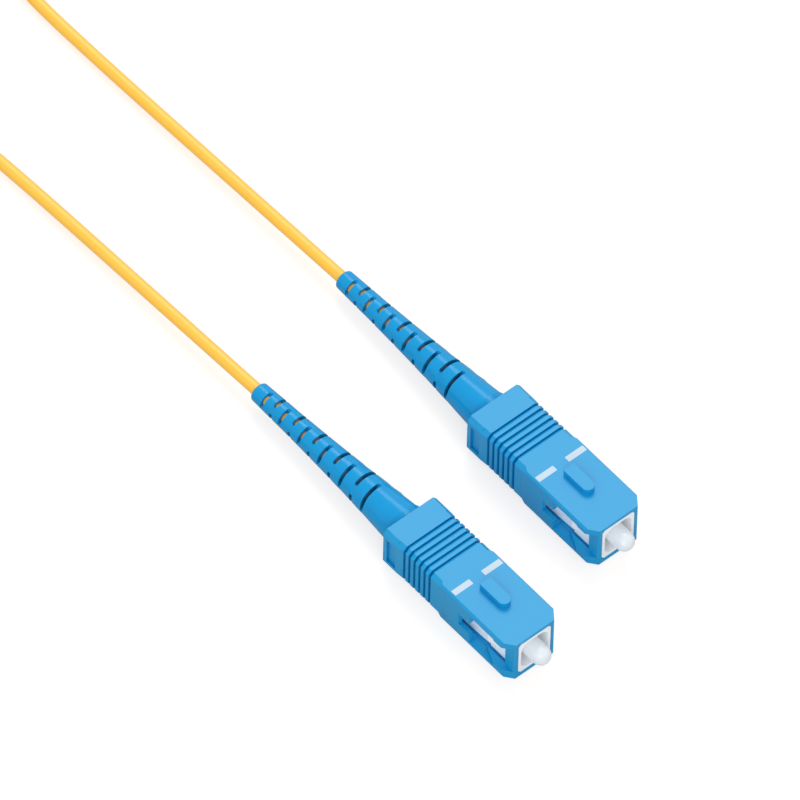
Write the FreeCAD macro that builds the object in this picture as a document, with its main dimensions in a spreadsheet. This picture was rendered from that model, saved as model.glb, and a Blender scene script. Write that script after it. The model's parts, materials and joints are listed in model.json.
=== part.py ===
import FreeCAD, Part
import math
import os
import re
import Sketcher

# Fibre optic patch cable: two square push-pull plugs on one round cable.
# X runs along the plugs, with the ferrules towards +X. Y runs across them and Z is up.
# The origin is on the surface that the plugs lie on, at the middle of the two plugs and boots.
# Each plug is drawn in its own frame: the origin is on the ferrule's axis at the grip's front face.

doc = FreeCAD.newDocument("PatchCable")

# Lengths in millimetres and angles in degrees. Places along a plug count back from the grip's front.
values = {
    # Layout of the two plugs
    "axisHeight": 3.75,
    "plugSpacing": 20.43,
    "farSetback": 6.93,
    # Grip, front body
    "gripWidth": 9.0,
    "gripHeight": 7.4,
    "gripLength": 25.2,
    "frontLength": 13.6,
    "edgeAcross": 0.25,
    "edgeDown": 0.33,
    "edgeUp": 0.5,
    "noseAlong": 1.6,
    "noseAcross": 1.22,
    # Grip, rear part with the ribs and the wider end block
    "rearWidth": 8.9,
    "rearEdgeAcross": 0.62,
    "rearEdgeDown": 0.58,
    "rearEdgeUp": 0.95,
    "stepLength": 0.6,
    "blockLength": 3.9,
    "blockTaper": 1.2,
    "blockWidth": 9.1,
    "blockEdgeAcross": 0.6,
    "blockEdgeDown": 0.72,
    "blockEdgeUp": 0.95,
    "ribCount": 5,
    "ribPitch": 1.01,
    "ribDepth": 0.35,
    "ribSlope": 0.95,
    "ribRunout": 0.32,
    "panelStart": 0.7,
    "panelLength": 1.7,
    "panelHeight": 4.6,
    "panelDepth": 0.35,
    "rearBore": 3.05,
    "mouthBore": 3.35,
    "mouthLength": 2.9,
    # Grip, side windows and latch channels
    "windowBack": 10.05,
    "windowHeight": 2.3,
    "windowRise": 0.05,
    "pocketBack": 7.9,
    "pocketHeight": 5.62,
    "rampStart": 5.75,
    "rampEnd": 3.1,
    "latchFloor": 2.31,
    "latchTop": 2.55,
    "postBack": 1.9,
    "postFace": 3.45,
    "roomBack": 11.5,
    "roomWidth": 7.7,
    "roomSill": 0.6,
    # Grip, key
    "keyBack": 10.1,
    "keyFront": 5.4,
    "keyWidth": 1.8,
    "keyHeight": 0.95,
    # Plug frame
    "frameWidth": 5.5,
    "frameHeight": 6.0,
    "frameLength": 19.0,
    "frameEdge": 0.4,
    "frameClearance": 0.08,
    "noseBoreWidth": 4.6,
    "noseBoreHeight": 5.1,
    "noseBoreRound": 1.4,
    "webFront": 5.2,
    "webBack": 6.0,
    "webBore": 1.55,
    "chamberBore": 2.25,
    "catchBack": 5.55,
    "catchTop": 5.1,
    "catchFront": 3.75,
    "catchReach": 0.6,
    "catchHeight": 2.1,
    "scoopBack": 9.1,
    "scoopDepth": 0.33,
    # Ferrule and its flange
    "ferruleBore": 1.25,
    "ferruleLead": 0.8,
    "ferruleLength": 10.5,
    "ferruleBevel": 0.35,
    "funnelBore": 0.48,
    "funnelLength": 2.6,
    "collarRadius": 2.1,
    "collarLength": 1.55,
    "collarGap": 0.05,
    "notchWidth": 0.8,
    "notchDepth": 0.45,
    "barrelRadius": 1.65,
    "barrelShare": 0.815,
    "fibreBore": 0.55,
    # Spring
    "wireDiameter": 0.35,
    "springRadius": 1.9,
    "springTurns": 6,
    "springClearance": 0.06,
    # Rear body and crimp sleeve
    "bodyShare": 0.54,
    "bodyBore": 1.75,
    "bodyBoreWall": 1.5,
    "shoulderRadius": 2.6,
    "shoulderLength": 1.0,
    "stemRadius": 1.7,
    "stemLength": 6.0,
    "stemBore": 0.8,
    "stemRings": 5,
    "ringPitch": 1.0,
    "ringDepth": 0.15,
    "sleeveRadius": 2.2,
    "sleeveGap": 0.05,
    "sleeveOver": 1.0,
    "neckRadius": 1.35,
    "neckLength": 3.0,
    # Cable, fibre and boot
    "cableDiameter": 1.8,
    "bufferDiameter": 0.9,
    "bootPivotInset": 1.3,
    "bootDroop": 1.9,
    "nearYaw": 0.3,
    "farYaw": 0.0,
    "bootRootGap": 0.9,
    "bootRootRadius": 2.85,
    "bootRootLength": 3.4,
    "bootNeck": 1.2,
    "bootBaseRadius": 3.12,
    "bootTipZone": 3.7,
    "bootWaistRadius": 1.56,
    "bootCurve": 430.0,
    "bootLength": 30.5,
    "bootTipRadius": 1.44,
    "bootLip": 0.3,
    "bootClearance": 0.16,
    "cableClearance": 0.05,
    "bootBoreRoot": 1.42,
    "slotCount": 6,
    "slotFirst": 2.35,
    "slotLast": 6.65,
    "slotGrowth": 0.275,
    "slotWidth": 0.6,
    "slotTurn": 45.0,
    "webTip": 0.62,
    "webRoot": 1.2,
    "webShort": 0.3,
    # Dust cap
    "capRadius": 1.42,
    "capBore": 1.28,
    "capCentre": 1.2,
    "capBoreEnd": 0.95,
    "capBack": 3.8,
    "capRimRadius": 1.7,
    "capRimLength": 0.5,
    # Coil of the length that is put away, and its tie
    "coilBack": 120.07,
    "coilSide": -1.345,
    "coilMean": 10.8,
    "coilWide": 7.2,
    "coilHigh": 5.4,
    "coilRound": 0.9,
    "tieThickness": 0.4,
    "tieAngle": 26.0,
}

sheet = doc.addObject("Spreadsheet::Sheet", "Sizes")
for row, (alias, value) in enumerate(values.items(), start=1):
    sheet.set("A%d" % row, alias)
    sheet.set("B%d" % row, str(value))
    sheet.setAlias("B%d" % row, alias)
doc.recompute()


def bind(text):
    # A formula in the sheet's words, such as "gripWidth / 2", as the document reads it
    def reference(word):
        return "Sizes." + word.group() if word.group() in values else word.group()

    return re.sub(r"[A-Za-z]\w*", reference, str(text))


def size(text):
    return float(sheet.evalExpression(bind(text)))


def origin_item(body, role):
    for item in body.Origin.OriginFeatures:
        if item.Role == role:
            return item


def new_body(name, forward, side, height):
    body = doc.addObject("PartDesign::Body", name)
    body.Label = name
    for axis, formula in zip("xyz", (forward, side, height)):
        body.setExpression("Placement.Base." + axis, bind(formula))
    return body


def new_sketch(body, name, plane, offset="0", turn=None):
    # A sketch on one of the body's own planes, moved along the plane's normal, or turned about X
    sketch = body.newObject("Sketcher::SketchObject", name)
    sketch.AttachmentSupport = [(origin_item(body, plane), "")]
    sketch.MapMode = "FlatFace"
    if turn is not None:
        about_x = FreeCAD.Rotation(FreeCAD.Vector(1, 0, 0), 1)
        sketch.AttachmentOffset = FreeCAD.Placement(FreeCAD.Vector(), about_x)
        sketch.setExpression("AttachmentOffset.Rotation.Angle", bind(turn))
    sketch.setExpression("AttachmentOffset.Base.z", bind(offset))
    return sketch


def arc_centre(start, end, given, value):
    # The centre of an arc through two points, when one of its coordinates is known
    if given == "x":
        gain = (end.x - value) ** 2 - (start.x - value) ** 2 + end.y ** 2 - start.y ** 2
        return FreeCAD.Vector(value, gain / (2 * (end.y - start.y)), 0)
    gain = (end.y - value) ** 2 - (start.y - value) ** 2 + end.x ** 2 - start.x ** 2
    return FreeCAD.Vector(gain / (2 * (end.x - start.x)), value, 0)


def radius_centre(start, end, radius, turn):
    middle = (start + end) * 0.5
    half = (end - start) * 0.5
    across = FreeCAD.Vector(-half.y, half.x, 0).normalize()
    rise = math.sqrt(radius ** 2 - half.Length ** 2)
    return middle + across * (rise if turn == "left" else -rise)


def draw(sketch, steps):
    # One closed outline. A step is the corner that a line runs to. An arc's step also gives
    # the way it turns and its centre's x or y, or its radius.
    corners = [FreeCAD.Vector(size(step[0]), size(step[1]), 0) for step in steps]
    edges = []
    limits = []
    for place, step in enumerate(steps):
        start = corners[place - 1]
        end = corners[place]
        if len(step) == 2:
            edges.append((sketch.addGeometry(Part.LineSegment(start, end), False), 1, 2))
            continue
        turn, given, amount = step[2:]
        if given == "radius":
            centre = radius_centre(start, end, size(amount), turn)
        else:
            centre = arc_centre(start, end, given, size(amount))
        first, last = (start, end) if turn == "left" else (end, start)
        angles = [math.atan2(point.y - centre.y, point.x - centre.x) for point in (first, last)]
        if angles[1] < angles[0]:
            angles[1] += 2 * math.pi
        circle = Part.Circle(centre, FreeCAD.Vector(0, 0, 1), (first - centre).Length)
        arc = sketch.addGeometry(Part.ArcOfCircle(circle, *angles), False)
        edges.append((arc, 1, 2) if turn == "left" else (arc, 2, 1))
        if given == "radius":
            limits.append((Sketcher.Constraint("Radius", arc, size(amount)), amount))
        else:
            limits.append((Sketcher.Constraint("Distance" + given.upper(), -1, 1, arc, 3, size(amount)), amount))
    for place, (edge, head, tail) in enumerate(edges):
        follower, next_head, next_tail = edges[(place + 1) % len(edges)]
        sketch.addConstraint(Sketcher.Constraint("Coincident", edge, tail, follower, next_head))
        for axis, formula in zip("XY", steps[place]):
            limits.append((Sketcher.Constraint("Distance" + axis, -1, 1, edge, tail, size(formula)), formula))
    for constraint, formula in limits:
        number = sketch.addConstraint(constraint)
        sketch.setExpression("Constraints[%d]" % number, bind(formula))


def mirrored(steps):
    # The same outline on the other side of the sketch's X axis
    return [(across, "-(%s)" % up) for across, up in steps]


def rectangle(left, right, bottom, top):
    return [(left, bottom), (right, bottom), (right, top), (left, top)]


def chamfered(half, bottom, top, across, down, up):
    # Cut corners: as far across at the top as at the bottom, and down or up to their own heights
    inner = "(%s) - (%s)" % (half, across)
    low = "(%s) + (%s)" % (bottom, up)
    high = "(%s) - (%s)" % (top, down)
    right = [(inner, bottom), (half, low), (half, high), (inner, top)]
    left = [("-(%s)" % across_value, up) for across_value, up in reversed(right)]
    return right + left


def rounded(half_width, half_height, radius):
    # A rectangle about the origin with a quarter round at each corner
    flat = "(%s) - (%s)" % (half_width, radius)
    rise = "(%s) - (%s)" % (half_height, radius)
    return [
        (flat, "-(%s)" % half_height),
        (half_width, "-(%s)" % rise, "left", "x", flat),
        (half_width, rise),
        (flat, half_height, "left", "x", flat),
        ("-(%s)" % flat, half_height),
        ("-(%s)" % half_width, rise, "left", "x", "-(%s)" % flat),
        ("-(%s)" % half_width, "-(%s)" % rise),
        ("-(%s)" % flat, "-(%s)" % half_height, "left", "x", "-(%s)" % flat),
    ]


def round_section(body, name, back, radius):
    # A circle round the plug's axis, at a place behind the grip's front
    sketch = new_sketch(body, name, "YZ_Plane", "-(%s)" % back)
    sketch.addGeometry(Part.Circle(FreeCAD.Vector(), FreeCAD.Vector(0, 0, 1), size(radius)), False)
    sketch.addConstraint(Sketcher.Constraint("Coincident", 0, 3, -1, 1))
    number = sketch.addConstraint(Sketcher.Constraint("Radius", 0, size(radius)))
    sketch.setExpression("Constraints[%d]" % number, bind(radius))
    return sketch


def pad(body, sketch, name, length, backward=False):
    feature = body.newObject("PartDesign::Pad", name)
    feature.Profile = sketch
    feature.Reversed = backward
    feature.setExpression("Length", bind(length))
    return feature


def pocket(body, sketch, name, length=None, toward_normal=False):
    # A cut from the sketch's plane: against its normal, along it, or with no length right through
    feature = body.newObject("PartDesign::Pocket", name)
    feature.Profile = sketch
    if length is None:
        feature.SideType = "Symmetric"
        feature.Type = "ThroughAll"
    else:
        feature.Type = "Length"
        feature.Reversed = toward_normal
        feature.setExpression("Length", bind(length))
    return feature


def revolve(body, name, steps):
    # A turned piece: the outline is half of its section along the X axis
    sketch = new_sketch(body, name + "_section", "XY_Plane")
    draw(sketch, steps)
    feature = body.newObject("PartDesign::Revolution", name)
    feature.Profile = sketch
    feature.ReferenceAxis = (sketch, ["H_Axis"])
    feature.Angle = 360.0
    return feature


def loft(body, kind, name, sections):
    feature = body.newObject("PartDesign::" + kind, name)
    feature.Profile = sections[0]
    feature.Sections = sections[1:]
    feature.Ruled = True
    return feature


# Heights and stations that several pieces share
gripTop = "gripHeight - axisHeight"
gripFloor = "-axisHeight"
ribsBack = "gripLength - blockLength"
channelBack = "frameLength + frameClearance"
beyond = "gripWidth"
springFront = "(webBack + collarGap + collarLength)"
bodyFront = "(webBack + (frameLength - webBack) * bodyShare)"
barrelBack = "(%s + (%s - %s) * barrelShare)" % (springFront, bodyFront, springFront)
shoulderBack = "(frameLength + shoulderLength)"
stemBack = "(%s + stemLength)" % shoulderBack
sleeveBack = "(%s + sleeveOver)" % stemBack
neckBack = "(%s + neckLength)" % sleeveBack
bootPivot = "(gripLength - bootPivotInset)"
bootEnd = "(gripLength + bootLength)"


def make_grip(side, forward, across):
    body = new_body(side + "_grip", forward, across, "axisHeight")
    front = chamfered("gripWidth / 2", gripFloor, gripTop, "edgeAcross", "edgeDown", "edgeUp")
    rear = chamfered("rearWidth / 2", gripFloor, gripTop, "rearEdgeAcross", "rearEdgeDown", "rearEdgeUp")
    block = chamfered("blockWidth / 2", gripFloor, gripTop, "blockEdgeAcross", "blockEdgeDown", "blockEdgeUp")

    def section(name, outline, back):
        sketch = new_sketch(body, side + name, "YZ_Plane", "-(%s)" % back)
        draw(sketch, outline)
        return sketch

    pad(body, section("_grip_front_section", front, "0"), side + "_grip_front", "frontLength", backward=True)
    pad(body, section("_grip_rear_section", rear, "frontLength"), side + "_grip_rear",
        "gripLength - frontLength", backward=True)
    loft(body, "AdditiveLoft", side + "_grip_step",
         [section("_step_front", front, "frontLength"), section("_step_rear", rear, "frontLength + stepLength")])
    taperBack = ribsBack + " + blockTaper"
    loft(body, "AdditiveLoft", side + "_block_taper",
         [section("_taper_front", rear, ribsBack), section("_taper_rear", block, taperBack)])
    pad(body, section("_block_section", block, taperBack), side + "_block", "blockLength - blockTaper",
        backward=True)

    # Key on the top face, square at the rear and round at the front
    key = new_sketch(body, side + "_key_outline", "XY_Plane", gripTop)
    draw(key, [
        ("-keyBack", "-keyWidth / 2"),
        ("-keyFront - keyWidth / 2", "-keyWidth / 2"),
        ("-keyFront - keyWidth / 2", "keyWidth / 2", "left", "x", "-keyFront - keyWidth / 2"),
        ("-keyBack", "keyWidth / 2"),
    ])
    pad(body, key, side + "_key", "keyHeight")

    # Finger ribs: a groove all round, steep at its rear and sloping up towards its front
    deep = new_sketch(body, side + "_groove_deep", "YZ_Plane", "-(%s)" % ribsBack)
    shallow = new_sketch(body, side + "_groove_shallow", "YZ_Plane", "ribSlope - (%s)" % ribsBack)
    for sketch, depth in ((deep, "ribDepth"), (shallow, "-ribRunout")):
        draw(sketch, rectangle("-(%s)" % beyond, beyond, "-(%s)" % beyond, beyond))
        draw(sketch, chamfered("rearWidth / 2 - (%s)" % depth, "-axisHeight + (%s)" % depth,
                               gripTop + " - (%s)" % depth, "rearEdgeAcross", "rearEdgeDown", "rearEdgeUp"))
    groove = loft(body, "SubtractiveLoft", side + "_rib_groove", [deep, shallow])
    doc.recompute()
    ribs = body.newObject("PartDesign::LinearPattern", side + "_ribs")
    ribs.Originals = [groove]
    ribs.Direction = (origin_item(body, "X_Axis"), [""])
    ribs.setExpression("Length", bind("ribCount * ribPitch"))
    ribs.setExpression("Occurrences", bind("ribCount + 1"))
    body.Tip = ribs
    doc.recompute()

    # Corners of the nose in plan
    nose = new_sketch(body, side + "_nose_corners", "XY_Plane")
    corner = [("-noseAlong", "gripWidth / 2"), ("noseAlong", "gripWidth / 2 - 2 * noseAcross"),
              ("noseAlong", "gripWidth / 2")]
    draw(nose, corner)
    draw(nose, mirrored(corner))
    pocket(body, nose, side + "_nose_cut")

    # Channel for the plug frame, and the round way out for the boot
    channel = new_sketch(body, side + "_channel_section", "YZ_Plane")
    half = "frameWidth / 2 + frameClearance"
    rise = "frameHeight / 2 + frameClearance"
    draw(channel, chamfered(half, "-(%s)" % rise, rise, "frameEdge", "frameEdge", "frameEdge"))
    pocket(body, channel, side + "_channel", channelBack)
    for name, radius, length in (("_boot_way", "rearBore", "gripLength - (%s) + 0.01" % channelBack),
                                 ("_boot_mouth", "mouthBore", "mouthLength")):
        way = round_section(body, side + name + "_circle", "gripLength", radius)
        pocket(body, way, side + name, length, toward_normal=True)

    # Room beside the plug frame for an adaptor's latch hooks, wider between the two sills
    room = new_sketch(body, side + "_room_section", "YZ_Plane", "-postBack")
    wall = "roomWidth / 2"
    sill = "roomWidth / 2 - roomSill"
    right = [(sill, "-(%s)" % rise), (sill, "-latchFloor"), (wall, "-latchFloor"), (wall, "latchTop"),
             (sill, "latchTop"), (sill, rise)]
    draw(room, right + [("-(%s)" % along, up) for along, up in reversed(right)])
    pocket(body, room, side + "_room", "roomBack - postBack")

    # Openings in both sides: a window behind, a pocket with the ramp that lifts the hooks, and their way in
    window = new_sketch(body, side + "_window_outline", "XZ_Plane")
    draw(window, rectangle("-windowBack", "-postBack", "windowRise - windowHeight / 2",
                           "windowRise + windowHeight / 2"))
    pocket(body, window, side + "_window")
    tall = new_sketch(body, side + "_tall_outline", "XY_Plane", "-pocketHeight / 2")
    ramp = [("-pocketBack", sill), ("-rampStart", sill), ("-rampEnd", "gripWidth / 2"), ("-rampEnd", beyond),
            ("-pocketBack", beyond)]
    draw(tall, ramp)
    draw(tall, mirrored(ramp))
    pocket(body, tall, side + "_tall_pocket", "pocketHeight", toward_normal=True)
    latch = new_sketch(body, side + "_latch_outline", "XY_Plane", "-latchFloor")
    lane = rectangle("-pocketBack", "noseAlong", "postFace", beyond)
    draw(latch, lane)
    draw(latch, mirrored(lane))
    pocket(body, latch, side + "_latch_channel", "latchFloor + latchTop", toward_normal=True)

    # Shallow panels in the sides of the end block
    panels = new_sketch(body, side + "_panel_outline", "XY_Plane", "-panelHeight / 2")
    panel = rectangle("panelStart - gripLength", "panelStart + panelLength - gripLength",
                      "blockWidth / 2 - panelDepth", beyond)
    draw(panels, panel)
    draw(panels, mirrored(panel))
    pocket(body, panels, side + "_panels", "panelHeight", toward_normal=True)
    return body


def make_frame(side, forward, across):
    body = new_body(side + "_plug_frame", forward, across, "axisHeight")
    outline = new_sketch(body, side + "_frame_section", "YZ_Plane")
    draw(outline, chamfered("frameWidth / 2", "-frameHeight / 2", "frameHeight / 2", "frameEdge", "frameEdge",
                            "frameEdge"))
    pad(body, outline, side + "_frame_bar", "frameLength", backward=True)
    nose = new_sketch(body, side + "_nose_bore_section", "YZ_Plane")
    draw(nose, rounded("noseBoreWidth / 2", "noseBoreHeight / 2", "noseBoreRound"))
    pocket(body, nose, side + "_nose_bore", "webFront")
    for name, radius, start, length in (("_web_bore", "webBore", "0", "frameLength"),
                                        ("_chamber", "chamberBore", "webBack", "frameLength - webBack")):
        pocket(body, round_section(body, side + name + "_circle", start, radius), side + name, length)

    # Latch catches on both sides, with a scoop behind each
    catches = new_sketch(body, side + "_catch_outline", "XY_Plane", "windowRise - catchHeight / 2")
    catch = [("-catchBack", "frameWidth / 2 - frameEdge / 2"), ("-catchFront", "frameWidth / 2 - frameEdge / 2"),
             ("-catchFront", "frameWidth / 2"), ("-catchTop", "frameWidth / 2 + catchReach"),
             ("-catchBack", "frameWidth / 2 + catchReach")]
    draw(catches, catch)
    draw(catches, mirrored(catch))
    pad(body, catches, side + "_catches", "catchHeight")
    scoops = new_sketch(body, side + "_scoop_outline", "XY_Plane")
    scoop = [("-scoopBack", "frameWidth / 2"), ("-catchBack", "frameWidth / 2 - scoopDepth"),
             ("-catchBack", "gripWidth / 2"), ("-scoopBack", "gripWidth / 2")]
    draw(scoops, scoop)
    draw(scoops, mirrored(scoop))
    pocket(body, scoops, side + "_scoops")
    return body


def make_ferrule(side, forward, across):
    body = new_body(side + "_ferrule", forward, across, "axisHeight")
    back = "ferruleLead - ferruleLength"
    revolve(body, side + "_ferrule_rod", [
        (back, "funnelBore"), (back, "ferruleBore"), ("ferruleLead - ferruleBevel", "ferruleBore"),
        ("ferruleLead", "ferruleBore - ferruleBevel / 2"), ("ferruleLead", "0"), (back + " + funnelLength", "0"),
        (back + " + funnelLength - funnelBore", "funnelBore"),
    ])
    return body


def make_flange(side, forward, across):
    body = new_body(side + "_ferrule_flange", forward, across, "axisHeight")
    front = "-webBack - collarGap"
    seat = "ferruleLead - ferruleLength"
    revolve(body, side + "_flange_turning", [
        (front, "ferruleBore"), (front, "collarRadius"), (front + " - collarLength", "collarRadius"),
        (front + " - collarLength", "barrelRadius"), ("-" + barrelBack, "barrelRadius"),
        ("-" + barrelBack, "fibreBore"),
        (seat, "fibreBore"), (seat, "ferruleBore"),
    ])
    doc.recompute()
    notch = new_sketch(body, side + "_notch_outline", "YZ_Plane", front)
    draw(notch, rectangle("-notchWidth / 2", "notchWidth / 2", "collarRadius - notchDepth", "collarRadius + 1"))
    cut = pocket(body, notch, side + "_notch", "collarLength")
    doc.recompute()
    notches = body.newObject("PartDesign::PolarPattern", side + "_notches")
    notches.Originals = [cut]
    notches.Axis = (origin_item(body, "X_Axis"), [""])
    notches.Angle = 360.0
    notches.Occurrences = 4
    body.Tip = notches
    return body


def make_spring(side, forward, across):
    body = new_body(side + "_spring", forward, across, "axisHeight")
    wire = new_sketch(body, side + "_spring_wire", "XY_Plane")
    start = "-%s - wireDiameter / 2 - springClearance" % springFront
    wire.addGeometry(Part.Circle(FreeCAD.Vector(size(start), size("springRadius"), 0),
                                 FreeCAD.Vector(0, 0, 1), size("wireDiameter / 2")), False)
    for kind, formula in (("DistanceX", start), ("DistanceY", "springRadius")):
        number = wire.addConstraint(Sketcher.Constraint(kind, -1, 1, 0, 3, size(formula)))
        wire.setExpression("Constraints[%d]" % number, bind(formula))
    number = wire.addConstraint(Sketcher.Constraint("Radius", 0, size("wireDiameter / 2")))
    wire.setExpression("Constraints[%d]" % number, bind("wireDiameter / 2"))
    helix = body.newObject("PartDesign::AdditiveHelix", side + "_spring_coil")
    helix.Profile = wire
    helix.ReferenceAxis = (wire, ["H_Axis"])
    helix.Mode = "pitch-height-angle"
    helix.Reversed = True
    room = "%s - %s - wireDiameter - 2 * springClearance" % (bodyFront, springFront)
    helix.setExpression("Height", bind(room))
    helix.setExpression("Pitch", bind("(%s) / springTurns" % room))
    return body


def make_rear_body(side, forward, across):
    body = new_body(side + "_rear_body", forward, across, "axisHeight")
    steps = [
        ("-" + bodyFront, "bodyBore"), ("-" + bodyFront, "chamberBore"), ("-frameLength", "chamberBore"),
        ("-frameLength", "shoulderRadius"), ("-" + shoulderBack, "shoulderRadius"),
        ("-" + shoulderBack, "stemRadius"),
    ]
    for ring in range(values["stemRings"]):
        place = "-%s - ringPitch * %d" % (shoulderBack, ring + 1)
        steps += [
            (place + " + ringPitch / 4", "stemRadius"),
            (place, "stemRadius - ringDepth"),
            (place + " - ringPitch / 4", "stemRadius"),
        ]
    steps += [
        ("-" + stemBack, "stemRadius"), ("-" + stemBack, "stemBore"), ("bodyBoreWall - frameLength", "stemBore"),
        ("bodyBoreWall - frameLength", "bodyBore"),
    ]
    revolve(body, side + "_rear_body_turning", steps)
    return body


def make_sleeve(side, forward, across):
    body = new_body(side + "_crimp_sleeve", forward, across, "axisHeight")
    front = "-%s - sleeveGap" % shoulderBack
    bore = "cableDiameter / 2"
    revolve(body, side + "_sleeve_turning", [
        (front, "stemRadius"), (front, "sleeveRadius"), ("-" + sleeveBack, "sleeveRadius"),
        ("-%s - sleeveRadius + neckRadius" % sleeveBack, "neckRadius"), ("-" + neckBack, "neckRadius"),
        ("-" + neckBack, bore), ("-%s - stemRadius + %s" % (stemBack, bore), bore), ("-" + stemBack, "stemRadius"),
    ])
    return body


def make_fibre(side, forward, across):
    body = new_body(side + "_buffered_fibre", forward, across, "axisHeight")
    front = "ferruleLead - ferruleLength - cableClearance"
    revolve(body, side + "_fibre_rod", [
        (front, "0"), ("-" + neckBack, "0"), ("-" + neckBack, "bufferDiameter / 2"), (front, "bufferDiameter / 2"),
    ])
    return body


def tip_boot_body(body, yaw):
    # Boots hang a little from the crimp, so what is in them turns with them
    turn = "rotation(vector(0; 0; 1); %s) * rotation(vector(0; 1; 0); -bootDroop)" % yaw
    body.setExpression("Placement.Rotation", bind(turn))


def slot_station(place):
    # Distance from the boot's small end to a slot. Slots lie further apart towards the plug, and the
    # last one keeps its distance from the boot's large end.
    last = values["slotCount"] - 1
    pitch = "(bootLength - slotFirst - slotLast - slotGrowth * %g) / %g" % (last * (last - 1) / 2, last)
    return "slotFirst + (%s) * %g + slotGrowth * %g" % (pitch, place, place * (place - 1) / 2)


def make_boot(side, forward, across, yaw):
    body = new_body(side + "_boot", "%s - %s" % (forward, bootPivot), across, "axisHeight")
    tip_boot_body(body, yaw)
    root = "%s - %s - bootRootGap" % (bootPivot, shoulderBack)
    tip = "(%s - %s)" % (bootPivot, bootEnd)
    neck = "%s - %s - 2 * cableClearance" % (bootPivot, neckBack)
    seat = "%s - %s - bootClearance" % (bootPivot, sleeveBack)
    revolve(body, side + "_boot_turning", [
        (root, "sleeveRadius + bootClearance"), (root, "bootRootRadius"),
        (root + " - bootRootLength", "bootRootRadius"),
        (bootPivot + " - gripLength - bootNeck", "bootBaseRadius"),
        (tip + " + bootTipZone", "bootWaistRadius", "right", "radius", "bootCurve"),
        (tip + " + bootLip", "bootTipRadius"),
        (tip, "bootTipRadius - bootLip", "left", "x", tip + " + bootLip"),
        (tip, "cableDiameter / 2 + cableClearance"), (neck, "bootBoreRoot"),
        (neck, "neckRadius + 2 * bootClearance"),
        (seat + " - sleeveRadius + neckRadius", "neckRadius + 2 * bootClearance"),
        (seat, "sleeveRadius + bootClearance"),
    ])
    doc.recompute()
    last = values["slotCount"] - 1
    for number in range(2 * values["slotCount"] - 1):
        # Whole numbers are the slots that face the viewer's side, halves are the ones crossed to them
        place = number / 2
        if number % 2 == 0:
            station = slot_station(place)
            turn = "-slotTurn"
        else:
            station = "(%s + %s) / 2" % (slot_station(place - 0.5), slot_station(place + 0.5))
            turn = "slotTurn"
        middle = tip + " + " + station
        web = "webTip + (webRoot - webTip) * %g" % (place / last)
        edge = "%s + slotWidth / 2" % web
        upper = "webShort + slotWidth / 2" if number % 2 else edge
        cut = new_sketch(body, "%s_slot_%d_outline" % (side, number), "XY_Plane", turn=turn)
        slot = [
            (middle + " - slotWidth / 2", "bootRootRadius + 1"),
            (middle + " - slotWidth / 2", upper),
            (middle + " + slotWidth / 2", upper, "left", "y", upper),
            (middle + " + slotWidth / 2", "bootRootRadius + 1"),
        ]
        draw(cut, slot)
        flipped = [
            (slot[0][0], "-bootRootRadius - 1"),
            (slot[1][0], "-(%s)" % edge),
            (slot[2][0], "-(%s)" % edge, "right", "y", "-(%s)" % edge),
            (slot[3][0], "-bootRootRadius - 1"),
        ]
        draw(cut, flipped)
        pocket(body, cut, "%s_slot_%d" % (side, number))
    return body


def make_cable_end(side, forward, across, yaw):
    body = new_body(side + "_cable_end", "%s - %s" % (forward, bootPivot), across, "axisHeight")
    tip_boot_body(body, yaw)
    front = "%s - %s - 4 * cableClearance" % (bootPivot, neckBack)
    tip = "%s - %s" % (bootPivot, bootEnd)
    revolve(body, side + "_jacket", [
        (front, "0"), (tip, "0"), (tip, "cableDiameter / 2"),
        (front, "cableDiameter / 2"),
    ])
    return body


def make_cap(side, forward, across):
    body = new_body(side + "_dust_cap", forward, across, "axisHeight")
    revolve(body, side + "_cap_turning", [
        ("-capBack", "capBore"), ("-capBack", "capRimRadius"), ("capRimLength - capBack", "capRimRadius"),
        ("capRimLength - capBack + capRimRadius - capRadius", "capRadius"), ("capCentre", "capRadius"),
        ("capCentre + capRadius", "0", "right", "x", "capCentre"), ("capBoreEnd", "0"), ("capBoreEnd", "capBore"),
    ])
    return body


capReach = "capCentre + capRadius"
nearForward = "(farSetback + %s - (%s)) / 2" % (bootEnd, capReach)
farForward = nearForward + " - farSetback"
plugs = (
    ("near", nearForward, "-plugSpacing / 2", "nearYaw"),
    ("far", farForward, "plugSpacing / 2", "farYaw"),
)
parts = []
for side, forward, across, yaw in plugs:
    for make in (make_grip, make_frame, make_ferrule, make_flange, make_spring, make_rear_body, make_sleeve,
                 make_fibre, make_cap):
        parts.append(make(side, forward, across))
    for make in (make_boot, make_cable_end):
        parts.append(make(side, forward, across, yaw))


# The length that is put away: a round coil of touching turns, lying on its tie
coil = new_body("cable_coil", "-coilBack", "coilSide", "0")
coil_section = new_sketch(coil, "coil_section", "XZ_Plane")
inner = "coilMean - coilWide / 2"
outer = "coilMean + coilWide / 2"
top = "tieThickness + coilHigh"


def bundle_section(grow):
    # The bundle's section beside the coil's upright axis, on the side away from the plugs
    left = "-(%s) - (%s)" % (outer, grow)
    right = "-(%s) + (%s)" % (inner, grow)
    low = "tieThickness - (%s)" % grow
    high = "%s + (%s)" % (top, grow)
    round_by = "coilRound + (%s)" % grow
    return [
        (left + " + " + round_by, low),
        (right + " - (%s)" % round_by, low),
        (right, low + " + " + round_by, "left", "x", right + " - (%s)" % round_by),
        (right, high + " - (%s)" % round_by),
        (right + " - (%s)" % round_by, high, "left", "x", right + " - (%s)" % round_by),
        (left + " + " + round_by, high),
        (left, high + " - (%s)" % round_by, "left", "x", left + " + " + round_by),
        (left, low + " + " + round_by),
    ]


def close_round(steps):
    # The last corner's round, back to the first point
    start = steps[0]
    return [(start[0], start[1], "left", "x", start[0])] + steps[1:]


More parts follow.
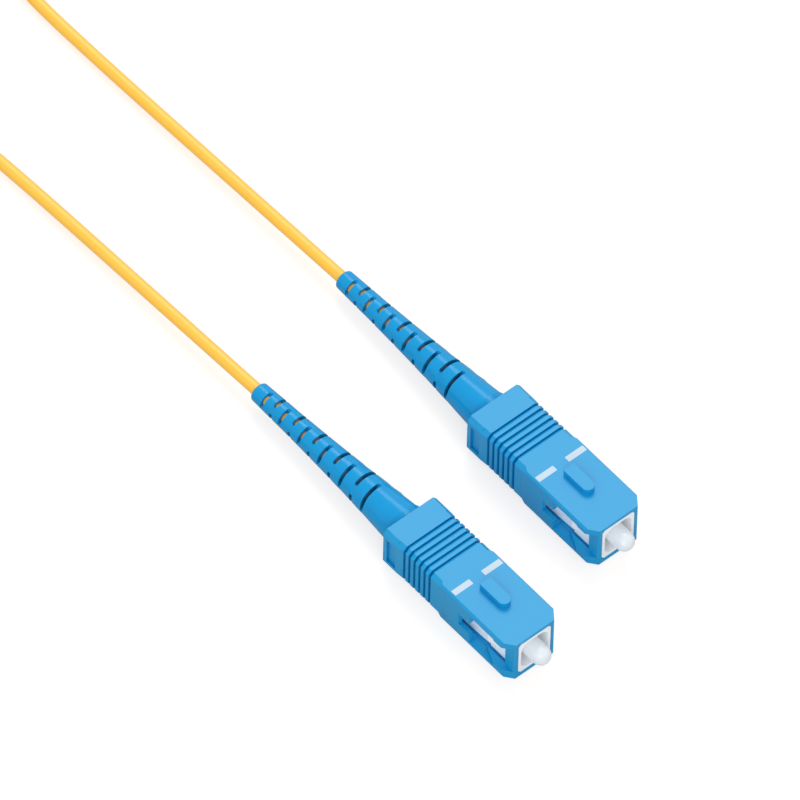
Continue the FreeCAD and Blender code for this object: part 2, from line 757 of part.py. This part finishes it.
draw(coil_section, close_round(bundle_section("0")))
coil_turning = coil.newObject("PartDesign::Revolution", "coil_turning")
coil_turning.Profile = coil_section
coil_turning.ReferenceAxis = (coil_section, ["V_Axis"])
coil_turning.Angle = 360.0
parts.append(coil)

tie = new_body("coil_tie", "-coilBack", "coilSide", "0")
tie_section = new_sketch(tie, "tie_section", "XZ_Plane")
draw(tie_section, close_round(bundle_section("tieThickness")))
draw(tie_section, close_round(bundle_section("0")))
tie_turning = tie.newObject("PartDesign::Revolution", "tie_turning")
tie_turning.Profile = tie_section
tie_turning.ReferenceAxis = (tie_section, ["V_Axis"])
tie_turning.Midplane = True
tie_turning.setExpression("Angle", bind("tieAngle"))
parts.append(tie)


def boot_tip(forward, across, yaw):
    reach = size("%s - %s" % (bootEnd, bootPivot))
    droop = math.radians(size("bootDroop"))
    swing = math.radians(size(yaw))
    return FreeCAD.Vector(
        size("%s - %s" % (forward, bootPivot)) - reach * math.cos(droop) * math.cos(swing),
        size(across) - reach * math.cos(droop) * math.sin(swing),
        size("axisHeight") - reach * math.sin(droop),
    )


def rounded_path(points):
    # Straight runs joined by arcs that are as large as the two runs at each point allow
    edges = []
    radii = []
    start = points[0]
    for before, point, after in zip(points, points[1:], points[2:]):
        back = before - point
        ahead = after - point
        half_turn = (math.pi - back.getAngle(ahead)) / 2
        tangent = 0.45 * min(back.Length, ahead.Length)
        radii.append(tangent / math.tan(half_turn))
        first = point + back.normalize() * tangent
        last = point + ahead.normalize() * tangent
        inward = (back + ahead).normalize()
        middle = point + inward * (radii[-1] / math.cos(half_turn) - radii[-1])
        edges.append(Part.LineSegment(start, first).toShape())
        edges.append(Part.Arc(first, middle, last).toShape())
        start = last
    edges.append(Part.LineSegment(start, points[-1]).toShape())
    return Part.Wire(edges), radii


def make_run(name, points):
    path, radii = rounded_path(points)
    radius = size("cableDiameter / 2")
    mouth = Part.Wire([Part.Circle(points[0], points[1] - points[0], radius).toShape()])
    tube = path.makePipeShell([mouth], True, False)
    run = doc.addObject("Part::Feature", name)
    run.Label = name
    run.Shape = tube
    parts.append(run)
    expected = math.pi * radius ** 2 * path.Length
    print("%s: length %.2f, radii %s, volume %.3f of %.3f"
          % (name, path.Length, [round(value, 1) for value in radii], tube.Volume, expected))


def lying(tip, back, aside, lift):
    # A point of a route: its distance behind the boot's tip, how far aside, and the gap under the cable
    return FreeCAD.Vector(tip.x - back, tip.y + aside, size("cableDiameter / 2") + lift)


# Routes of the two stretches, from each boot to the coil's outer turn
outer_turn = size("coilMean + coilWide / 2 - cableDiameter / 2")
coil_centre = FreeCAD.Vector(-size("coilBack"), size("coilSide"), size("tieThickness + cableDiameter / 2"))
near_tip = boot_tip(*plugs[0][1:])
far_tip = boot_tip(*plugs[1][1:])
make_run("cable_run_near", [
    near_tip,
    lying(near_tip, 23.8, -0.32, 0.85),
    lying(near_tip, 48.8, -0.79, 0.12),
    lying(near_tip, 71.8, -2.37, 0.1),
    coil_centre - FreeCAD.Vector(0, outer_turn, 0),
])
make_run("cable_run_far", [
    far_tip,
    lying(far_tip, 24.3, -0.27, 0.85),
    lying(far_tip, 47.3, -0.65, 0.15),
    lying(far_tip, 65.8, -0.85, 0.12),
    lying(far_tip, 77.3, 0.9, 0.8),
    coil_centre + FreeCAD.Vector(0, outer_turn, size("cableDiameter")),
])

doc.recompute()
for item in doc.Objects:
    if "Invalid" in item.State or "Error" in item.State:
        raise RuntimeError("%s failed: %s" % (item.Label, item.getStatusString()))
for part in parts:
    if part.Shape.isNull() or not part.Shape.isValid():
        raise RuntimeError("%s has no valid solid" % part.Label)
    print("%-22s solids %d volume %.3f" % (part.Label, len(part.Shape.Solids), part.Shape.Volume))

os.makedirs("parts", exist_ok=True)
for part in parts:
    part.Shape.exportStep("parts/%s.step" % part.Label)
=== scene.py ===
import json
import math

import bmesh
import bpy
from mathutils import Matrix, Vector


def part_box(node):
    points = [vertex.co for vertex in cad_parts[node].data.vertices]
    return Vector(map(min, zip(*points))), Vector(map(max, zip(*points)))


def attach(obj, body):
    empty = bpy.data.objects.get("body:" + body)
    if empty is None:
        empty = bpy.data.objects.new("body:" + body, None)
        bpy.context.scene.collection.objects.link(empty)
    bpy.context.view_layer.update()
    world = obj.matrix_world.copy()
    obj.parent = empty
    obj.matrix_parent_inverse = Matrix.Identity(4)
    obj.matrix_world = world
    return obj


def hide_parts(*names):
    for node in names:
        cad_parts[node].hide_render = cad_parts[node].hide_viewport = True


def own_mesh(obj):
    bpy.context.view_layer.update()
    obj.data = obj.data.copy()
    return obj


# Fibre optic patch cable, in metres. X runs along the plugs, ferrules towards +X, and Z is up.
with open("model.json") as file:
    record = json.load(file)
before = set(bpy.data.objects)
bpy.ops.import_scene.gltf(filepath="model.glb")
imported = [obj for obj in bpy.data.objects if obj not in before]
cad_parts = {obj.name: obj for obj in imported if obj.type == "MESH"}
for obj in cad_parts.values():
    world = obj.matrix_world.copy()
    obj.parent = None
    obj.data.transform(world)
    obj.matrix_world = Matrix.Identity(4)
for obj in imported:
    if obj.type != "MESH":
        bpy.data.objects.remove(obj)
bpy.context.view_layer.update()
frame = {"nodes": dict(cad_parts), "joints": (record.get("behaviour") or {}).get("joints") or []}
scene = bpy.context.scene
scene.view_settings.view_transform = "Standard"
print("frame loaded:", len(frame["nodes"]), "pieces")

# The camera has a very long lens, so that parallel edges stay parallel as in the photograph.
cameraSet = {
    "azimuth": 48.304,  # degrees round from -Y
    "elevation": 53.56,
    "roll": 1.52,
    "target": (-0.014098, 0.004358, 0.0),
    "distance": 2.64145,
    "lens": 900.0,  # millimetres, as the sensor is
    "sensor": 36.0,
    "clipStart": 0.1,
    "clipEnd": 20,
}


def placeCamera():
    turn = math.radians(cameraSet["azimuth"])
    lift = math.radians(cameraSet["elevation"])
    roll = math.radians(cameraSet["roll"])
    back = Vector((
        math.sin(turn) * math.cos(lift),
        -math.cos(turn) * math.cos(lift),
        math.sin(lift),
    ))
    right = Vector((math.cos(turn), math.sin(turn), 0))
    up = back.cross(right)
    rolledRight = right * math.cos(roll) + up * math.sin(roll)
    rolledUp = up * math.cos(roll) - right * math.sin(roll)
    lensData = bpy.data.cameras.new("photoLens")
    lensData.lens = cameraSet["lens"]
    lensData.sensor_width = cameraSet["sensor"]
    lensData.clip_start = cameraSet["clipStart"]
    lensData.clip_end = cameraSet["clipEnd"]
    camera = bpy.data.objects.new("photoCamera", lensData)
    scene.collection.objects.link(camera)
    pose = Matrix((rolledRight, rolledUp, back)).transposed().to_4x4()
    pose.translation = Vector(cameraSet["target"]) + back * cameraSet["distance"]
    camera.matrix_world = pose
    scene.camera = camera


placeCamera()
print("camera placed")

# The cable is one spline from boot to boot, with its spare length wound into a coil.
cable = {
    "diameter": 0.0018,
    "length": 0.96,
    "nearRoute": [
        (-0.025677, -0.010381, 0.002696),
        (-0.049477, -0.010701, 0.00175),
        (-0.074477, -0.011171, 0.00102),
        (-0.097477, -0.012751, 0.0010),
    ],
    "farRoute": [
        (-0.032607, 0.010215, 0.002696),
        (-0.056907, 0.009945, 0.00175),
        (-0.079907, 0.009565, 0.00105),
        (-0.098407, 0.009365, 0.00102),
        (-0.109907, 0.011115, 0.0017),
    ],
    "coilCentre": (-0.12007, -0.001345, 0.0013),
    "coilMean": 0.0108,  # radius at the middle of the turns
    "columns": 4,
    "pointsPerTurn": 16,
    "changeover": 0.22,  # share of a turn over which the cable moves to its next place
    # each turn's column from the inside and row from the bottom, in the order of winding
    "turns": [
        (4, 1), (3, 1), (2, 1), (1, 1), (1, 2), (1, 3),
        (2, 3), (2, 2), (3, 2), (3, 3), (4, 3), (4, 2),
    ],
    "steps": 10,  # along the cable, between two points
    "roundness": 6,
}


def windCoil():
    points = []
    perTurn = cable["pointsPerTurn"]
    turns = cable["turns"]
    middleColumn = (cable["columns"] + 1) / 2
    spread = 1 / math.cos(math.pi / perTurn)  # the spline runs inside its points by this much
    # the last turn stops half way round, where the far run leaves the coil
    for step in range(perTurn * (len(turns) - 1) + perTurn // 2 + 1):
        turn, share = divmod(step / perTurn, 1)
        here = turns[int(turn)]
        after = turns[min(int(turn) + 1, len(turns) - 1)]
        late = max(0.0, (share - 1 + cable["changeover"]) / cable["changeover"])
        ease = late * late * (3 - 2 * late)
        column = here[0] + (after[0] - here[0]) * ease
        row = here[1] + (after[1] - here[1]) * ease
        radius = cable["coilMean"] + (column - middleColumn) * cable["diameter"]
        angle = -math.pi / 2 - 2 * math.pi * step / perTurn
        points.append(Vector(cable["coilCentre"]) + Vector((
            radius * spread * math.cos(angle),
            radius * spread * math.sin(angle),
            (row - 1) * cable["diameter"],
        )))
    return points


def layCable():
    points = [Vector(point) for point in cable["nearRoute"]]
    points += windCoil()
    points += [Vector(point) for point in reversed(cable["farRoute"])]
    line = bpy.data.curves.new("cable", "CURVE")
    line.dimensions = "3D"
    spline = line.splines.new("NURBS")
    spline.points.add(len(points) - 1)
    for place, point in enumerate(points):
        spline.points[place].co = (*point, 1)
        spline.points[place].radius = cable["diameter"] / 2
    spline.order_u = 3
    spline.use_endpoint_u = True
    spline.resolution_u = cable["steps"]
    line.bevel_depth = 1.0  # times each point's radius
    line.bevel_resolution = cable["roundness"]
    piece = bpy.data.objects.new("cable", line)
    scene.collection.objects.link(piece)
    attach(piece, "cord")
    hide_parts("cable_run_near", "cable_run_far", "cable_coil")
    return piece


cablePiece = layCable()
print("cable laid:", len(cablePiece.data.splines[0].points), "points")


class Value:
    # what comes out of a socket, with plain arithmetic on it
    def __init__(self, tree, socket):
        self.tree = tree
        self.socket = socket

    def maths(self, operation, first, second):
        return self.tree.node("ShaderNodeMath", {"operation": operation}, {0: first, 1: second})

    def __add__(self, other):
        return self.maths("ADD", self, other)

    def __radd__(self, other):
        return self.maths("ADD", other, self)

    def __sub__(self, other):
        return self.maths("SUBTRACT", self, other)

    def __rsub__(self, other):
        return self.maths("SUBTRACT", other, self)

    def __mul__(self, other):
        return self.maths("MULTIPLY", self, other)

    def __rmul__(self, other):
        return self.maths("MULTIPLY", other, self)


class Tree:
    # a node tree and the one way in which nodes are added to it
    def __init__(self, nodeTree):
        self.nodeTree = nodeTree

    def feed(self, socket, value):
        if isinstance(value, Value):
            self.nodeTree.links.new(value.socket, socket)
        else:
            socket.default_value = value

    def node(self, kind, settings=None, sockets=None, out=0):
        made = self.nodeTree.nodes.new(kind)
        for name, value in (settings or {}).items():
            setattr(made, name, value)
        for name, value in (sockets or {}).items():
            self.feed(made.inputs[name], value)
        return Value(self, made.outputs[out])

    def ray(self, kind):
        # 1 for rays of this kind
        return self.node("ShaderNodeLightPath", out="Is " + kind + " Ray")


class Finish(Tree):
    # one material: even values go straight to its shader, and the rest comes from nodes
    def __init__(self, name, shaderValues=None):
        self.material = bpy.data.materials.new(name)
        self.material.use_nodes = True
        super().__init__(self.material.node_tree)
        self.shader = self.nodeTree.nodes["Principled BSDF"]
        for socket, value in (shaderValues or {}).items():
            self.shader.inputs[socket].default_value = value

    def paint(self, varying):
        for socket, value in varying.items():
            self.feed(self.shader.inputs[socket], value)
        return self.material

    def place(self):
        return self.node("ShaderNodeTexCoord", out="Object")

    def noise(self, scale, detail, stretch=None):
        where = self.place()
        if stretch is not None:
            where = self.node("ShaderNodeVectorMath", {"operation": "MULTIPLY"},
                              {0: where, 1: stretch})
        return self.node("ShaderNodeTexNoise",
                         sockets={"Vector": where, "Scale": scale, "Detail": detail})

    def threads(self, direction, pitch):
        return self.node("ShaderNodeTexWave", {"bands_direction": direction},
                         {"Vector": self.place(), "Scale": pitch}, out="Fac")

    def around(self, middle, spread, pattern):
        # a number that wanders about its middle as the pattern goes from 0 to 1
        return middle + spread * (pattern - 0.5)

    def shadeOpenness(self, reach, gain):
        # for painted shade: 1 and over on an open face, and less the deeper a place lies in a
        # slot or a pocket
        return gain * self.node("ShaderNodeAmbientOcclusion", {"samples": 8, "only_local": True},
                                {"Distance": reach}, out="AO")

    def blend(self, factor, first, second):
        # a colour between two colours
        first, second = (colour if isinstance(colour, Value) else (*colour, 1)
                         for colour in (first, second))
        return self.node("ShaderNodeMix", {"data_type": "RGBA"},
                         {0: factor, 6: first, 7: second}, out=2)

    def bump(self, height, depth, strength):
        return self.node("ShaderNodeBump",
                         sockets={"Height": height, "Distance": depth, "Strength": strength})


moulding = {  # what all moulded pieces share
    "clouds": 260,
    "cloudDetail": 3,
    "grainDetail": 4,
    "grainStrength": 0.6,
    "roughnessSpread": 0.08,
    "shadeOpenness": 1.5,  # over 1, so that the painted shade falls only in deep slots and pockets
}


def makeMouldedPlastic(name, plastic):
    plastic = {**moulding, **plastic}
    finish = Finish(name, plastic.get("shader"))
    clouds = finish.noise(plastic["clouds"], plastic["cloudDetail"])
    grain = finish.noise(plastic["grain"], plastic["grainDetail"])
    colour = finish.blend(clouds, plastic["shade"], plastic["light"])
    # painted shade: places deep in slots, grooves and pockets are darkened towards a given
    # colour
    if "paintedShade" in plastic:
        shadeOpening = finish.shadeOpenness(plastic["reach"], plastic["shadeOpenness"])
        colour = finish.blend(shadeOpening, plastic["paintedShade"], colour)
    return finish.paint({
        "Base Color": colour,
        "Roughness": finish.around(plastic["roughness"], plastic["roughnessSpread"], clouds),
        "Normal": finish.bump(grain, plastic["grainDepth"], plastic["grainStrength"]),
    })


gripBlue = makeMouldedPlastic("gripBlue", {
    "shade": (0.004, 0.365, 0.72),
    "light": (0.016, 0.385, 0.75),
    "paintedShade": (0.0, 0.14, 0.38),  # painted shade in the grooves and windows
    "reach": 0.0045,
    "roughness": 0.36,
    "grain": 7000,
    "grainDepth": 0.000006,
    "shader": {"IOR": 1.38},
})
bootBlue = makeMouldedPlastic("bootBlue", {
    "shade": (0.0, 0.345, 0.73),
    "light": (0.002, 0.37, 0.77),
    # painted shade in the boot's slots
    "paintedShade": (0.0, 0.01, 0.05),
    "reach": 0.0025,
    "roughness": 0.2,
    "grain": 5200,
    "grainDepth": 0.000008,
    "shader": {"IOR": 1.32},
})
frameWhite = makeMouldedPlastic("frameWhite", {
    "shade": (0.90, 0.925, 0.95),
    "light": (0.925, 0.945, 0.965),
    # painted shade inside the frame's nose and window
    "paintedShade": (0.1, 0.12, 0.14),
    "reach": 0.006,
    "roughness": 0.34,
    "grain": 8000,
    "grainDepth": 0.000004,
    # painted light: the emission is a glow that brightens the white frame
    "shader": {"IOR": 1.5, "Emission Color": (0.93, 0.97, 1, 1), "Emission Strength": 0.14},
})
capClear = makeMouldedPlastic("capClear", {
    "shade": (0.83, 0.86, 0.89),
    "light": (0.86, 0.885, 0.91),
    "roughness": 0.14,
    "grain": 3000,
    "grainDepth": 0.000002,
    # painted light: the emission is a glow that brightens the cap
    "shader": {"IOR": 1.5, "Transmission Weight": 0.12,
               "Emission Color": (0.95, 0.98, 1, 1), "Emission Strength": 0.12},
})
ceramicWhite = makeMouldedPlastic("ceramicWhite", {
    "shade": (0.83, 0.83, 0.80),
    "light": (0.88, 0.88, 0.86),
    "roughness": 0.12,
    "grain": 9000,
    "grainDepth": 0.000001,
    "shader": {"IOR": 2.1},
})
bufferWhite = makeMouldedPlastic("bufferWhite", {
    "shade": (0.80, 0.80, 0.78),
    "light": (0.87, 0.87, 0.85),
    "roughness": 0.45,
    "grain": 6000,
    "grainDepth": 0.000004,
})
markInk = makeMouldedPlastic("markInk", {
    "shade": (0.55, 0.70, 0.83),
    "light": (0.68, 0.80, 0.90),
    "clouds": 2400,  # the ink covers unevenly
    "roughness": 0.5,
    "grain": 9000,
    "grainDepth": 0.000006,
})


def makeJacket(name, jacket):
    finish = Finish(name, jacket["shader"])
    patches = finish.noise(jacket["patches"], 3)
    skin = finish.noise(jacket["skin"], 4)
    return finish.paint({
        "Base Color": finish.blend(patches, jacket["shade"], jacket["light"]),
        "Roughness": finish.around(jacket["roughness"], jacket["roughnessSpread"], skin),
        "Normal": finish.bump(skin, jacket["skinDepth"], jacket["skinStrength"]),
    })


jacketYellow = makeJacket("jacketYellow", {
    "shade": (0.97, 0.485, 0.016),
    "light": (1.0, 0.535, 0.026),
    "patches": 180,
    "roughness": 0.43,
    "roughnessSpread": 0.1,
    "skin": 2600,
    "skinDepth": 0.000012,
    "skinStrength": 0.5,
    # painted light: the emission is a glow that lifts the jacket's shaded side, standing for the
    # light that the thin jacket lets through
    "shader": {"IOR": 1.75, "Sheen Weight": 0.6, "Sheen Roughness": 0.45,
               "Emission Color": (1.0, 0.5, 0.02, 1), "Emission Strength": 0.2},
})


turning = {  # what all metal pieces share: fine rings round their axis
    "rings": (9000, 300, 300),
    "ringDetail": 2,
    "ringDepth": 0.000003,
    "ringStrength": 0.4,
    "roughnessSpread": 0.12,
}


def makeTurnedMetal(name, metal):
    finish = Finish(name, {"Metallic": 1.0})
    rings = finish.noise(1.0, turning["ringDetail"], stretch=turning["rings"])
    return finish.paint({
        "Base Color": finish.blend(rings, metal["shade"], metal["light"]),
        "Roughness": finish.around(metal["roughness"], turning["roughnessSpread"], rings),
        "Normal": finish.bump(rings, turning["ringDepth"], turning["ringStrength"]),
    })


nickel = makeTurnedMetal("nickel", {
    "shade": (0.66, 0.65, 0.62),
    "light": (0.78, 0.76, 0.72),
    "roughness": 0.26,
})
crimpMetal = makeTurnedMetal("crimpMetal", {
    "shade": (0.55, 0.56, 0.57),
    "light": (0.68, 0.69, 0.7),
    "roughness": 0.36,
})
springSteel = makeTurnedMetal("springSteel", {
    "shade": (0.5, 0.5, 0.5),
    "light": (0.64, 0.64, 0.63),
    "roughness": 0.31,
})


def makeTieCloth(name, cloth):
    finish = Finish(name, cloth["shader"])
    fuzz = finish.noise(cloth["fuzz"], 3)
    weave = finish.threads("Z", cloth["pitch"]) * finish.threads("Y", cloth["pitch"])
    weave = weave + fuzz * cloth["fuzzShare"]
    return finish.paint({
        "Base Color": finish.blend(weave, cloth["shade"], cloth["light"]),
        "Roughness": finish.around(cloth["roughness"], cloth["roughnessSpread"], fuzz),
        "Normal": finish.bump(weave, cloth["depth"], cloth["strength"]),
    })


tieCloth = makeTieCloth("tieCloth", {
    "shade": (0.012, 0.012, 0.014),
    "light": (0.05, 0.05, 0.055),
    "pitch": 700,
    "fuzz": 4000,
    "fuzzShare": 0.4,
    "roughness": 0.875,
    "roughnessSpread": 0.15,
    "depth": 0.00006,
    "strength": 0.8,
    "shader": {"Sheen Weight": 0.3, "Sheen Roughness": 0.5},
})
print("finishes mixed")

# A mould leaves the edges of these pieces eased. Angles are in degrees.
easing = {
    "grip": {"width": 0.00009, "segments": 3, "flat": 0.6},
    "plug_frame": {"width": 0.00006, "segments": 2, "flat": 0.6},
    "dust_cap": {"width": 0.00006, "segments": 2, "flat": 0.1},
    "sharp": 32,  # an edge that bends more than this is eased
    "smooth": 24,  # and one that bends less than this is shaded smooth
}


def coat(piece, material):
    piece.data.materials.clear()
    piece.data.materials.append(material)


def easeEdges(nodeName, body, size, material):
    mesh = frame["nodes"][nodeName].data.copy()
    mesh.name = nodeName + "_moulded"
    form = bmesh.new()
    form.from_mesh(mesh)
    bmesh.ops.remove_doubles(form, verts=form.verts, dist=1e-6)
    # faces that bend by less than flat become one, so that the bevel meets clean corners
    bmesh.ops.dissolve_limit(form, angle_limit=math.radians(size["flat"]),
                             verts=form.verts, edges=form.edges)
    for face in form.faces:
        face.smooth = True
    smooth = math.radians(easing["smooth"])
    for edge in form.edges:
        edge.smooth = len(edge.link_faces) == 2 and edge.calc_face_angle() < smooth
    form.to_mesh(mesh)
    form.free()
    piece = bpy.data.objects.new(nodeName + "_moulded", mesh)
    scene.collection.objects.link(piece)
    bevel = piece.modifiers.new("easedEdges", "BEVEL")
    bevel.width = size["width"]
    bevel.segments = size["segments"]
    bevel.limit_method = "ANGLE"
    bevel.angle_limit = math.radians(easing["sharp"])
    bevel.use_clamp_overlap = True
    bevel.harden_normals = True
    coat(piece, material)
    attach(piece, body)
    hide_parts(nodeName)


# These keep the form that they have in the frame.
plain = {
    "boot": bootBlue,
    "ferrule": ceramicWhite,
    "ferrule_flange": nickel,
    "rear_body": nickel,
    "crimp_sleeve": crimpMetal,
    "cable_end": jacketYellow,
}
# These are drawn as their own copies of the frame's pieces.
yielding = {
    "spring": {"material": springSteel, "slot": "spring_steel"},
    "buffered_fibre": {"material": bufferWhite, "slot": "buffer_white"},
}


def giveWay(side, name, look):
    # the piece is drawn as its own copy, attached to the cord; the float's travel is read, but
    # the piece keeps its length
    node = side + "_" + name
    joint = side + "_ferrule_float"
    travel = next(known["range_m"][1] for known in frame["joints"] if known["name"] == joint)
    low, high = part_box(node)
    piece = bpy.data.objects.new(node + "_yielding", frame["nodes"][node].data.copy())
    scene.collection.objects.link(piece)
    coat(piece, look["material"])
    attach(piece, "cord")
    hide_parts(node)
    1 - travel / (high.x - low.x)
    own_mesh(piece)


for side in ("near", "far"):
    easeEdges(side + "_grip", side + "_grip", easing["grip"], gripBlue)
    easeEdges(side + "_plug_frame", "cord", easing["plug_frame"], frameWhite)
    easeEdges(side + "_dust_cap", side + "_cap", easing["dust_cap"], capClear)
    for name, material in plain.items():
        coat(frame["nodes"][side + "_" + name], material)
    for name, look in yielding.items():
        giveWay(side, name, look)
coat(frame["nodes"]["coil_tie"], tieCloth)
coat(cablePiece, jacketYellow)
print("plugs dressed")

# Two bars are printed on the top of each grip, beside its key.
marks = {
    "front": 0.01118,  # behind the grip's front face
    "back": 0.01211,
    "inner": 0.00103,  # from the plug's middle
    "outer": 0.00412,
    "keyHeight": 0.00095,  # how far the key stands up from the printed face
    "thickness": 0.00002,
    "sunk": 0.00002,
    "corner": 0.00008,
}


def printMarks(side):
    low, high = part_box(side + "_grip")
    middle = (low.y + high.y) / 2
    top = high.z - marks["keyHeight"]
    left = high.x - marks["back"]
    right = high.x - marks["front"]
    corner = marks["corner"]
    form = bmesh.new()
    for way in (-1, 1):
        near, far = sorted((middle + way * marks["inner"], middle + way * marks["outer"]))
        outline = [
            (left + corner, near), (right - corner, near), (right, near + corner),
            (right, far - corner), (right - corner, far), (left + corner, far),
            (left, far - corner), (left, near + corner),
        ]
        base = form.faces.new([form.verts.new((x, y, top - marks["sunk"])) for x, y in outline])
        raised = bmesh.ops.extrude_face_region(form, geom=[base])
        lifted = [item for item in raised["geom"] if isinstance(item, bmesh.types.BMVert)]
        bmesh.ops.translate(form, verts=lifted, vec=(0, 0, marks["sunk"] + marks["thickness"]))
    bmesh.ops.recalc_face_normals(form, faces=form.faces)
    mesh = bpy.data.meshes.new(side + "_marks")
    form.to_mesh(mesh)
    form.free()
    piece = bpy.data.objects.new(side + "_marks", mesh)
    scene.collection.objects.link(piece)
    coat(piece, markInk)
    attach(piece, side + "_grip")


for side in ("near", "far"):
    printMarks(side)
print("marks printed")

# The studio is a white floor and sky with two soft light boxes.
studio = {
    "floorColour": (0.53, 0.5, 0.465),
    "floorSeen": 0.66,  # what the camera sees on top, so that the bare floor is white
    "floorMirrored": 0.06,  # the same in gloss and through clear plastic
    "floorGlow": (1.0, 0.97, 0.955),
    "floorSize": 3.0,
    "floorSink": 0.00003,  # below the plugs, so that their faces and the floor stay apart
    "skyLight": 0.6,
    "skySeen": 1.0,
    "skyColour": (0.96, 1.0, 1.05),
    "lightBoxes": {
        "backBox": {
            "place": (-0.46, 0.42, 0.86),
            "size": 0.55,
            "power": 3.9,
            "colour": (1.0, 0.97, 0.88),
        },
        "frontBox": {
            "place": (0.6, -0.6, 0.5),
            "size": 0.6,
            "power": 3.0,
            "colour": (0.87, 0.94, 1.0),
        },
    },
}


def layFloor():
    half = studio["floorSize"]
    mesh = bpy.data.meshes.new("studioFloor")
    corners = [(-half, -half), (half, -half), (half, half), (-half, half)]
    mesh.from_pydata([(x, y, -studio["floorSink"]) for x, y in corners], [], [(0, 1, 2, 3)])
    floor = bpy.data.objects.new("studioFloor", mesh)
    scene.collection.objects.link(floor)
    finish = Finish("studioFloor")
    seen = finish.ray("Camera") * studio["floorSeen"]
    seen = seen + (finish.ray("Glossy") + finish.ray("Transmission")) * studio["floorMirrored"]
    matt = finish.node("ShaderNodeBsdfDiffuse", sockets={"Color": (*studio["floorColour"], 1)})
    glow = finish.node("ShaderNodeEmission",
                       sockets={"Color": (*studio["floorGlow"], 1), "Strength": seen})
    both = finish.node("ShaderNodeAddShader", sockets={0: matt, 1: glow})
    finish.feed(finish.nodeTree.nodes["Material Output"].inputs["Surface"], both)
    finish.nodeTree.nodes.remove(finish.shader)
    coat(floor, finish.material)


def lightWorld():
    world = bpy.data.worlds.new("studioWorld")
    scene.world = world
    world.use_nodes = True
    sky = Tree(world.node_tree)
    seen = sky.ray("Camera")
    for kind in ("Glossy", "Transmission"):
        seen = sky.node("ShaderNodeMath", {"operation": "MAXIMUM"}, {0: seen, 1: sky.ray(kind)})
    background = world.node_tree.nodes["Background"]
    sky.feed(background.inputs["Color"], (*studio["skyColour"], 1))
    sky.feed(background.inputs["Strength"],
             studio["skyLight"] + seen * (studio["skySeen"] - studio["skyLight"]))


def hangLightBox(name, box):
    lamp = bpy.data.lights.new(name, "AREA")
    lamp.shape = "SQUARE"
    lamp.size = box["size"]
    lamp.energy = box["power"]
    lamp.color = box["colour"]
    hung = bpy.data.objects.new(name, lamp)
    scene.collection.objects.link(hung)
    hung.location = box["place"]
    hung.rotation_euler = Vector(box["place"]).to_track_quat("Z", "Y").to_euler()


layFloor()
lightWorld()
for name, box in studio["lightBoxes"].items():
    hangLightBox(name, box)
print("studio lit")

bpy.context.view_layer.update()
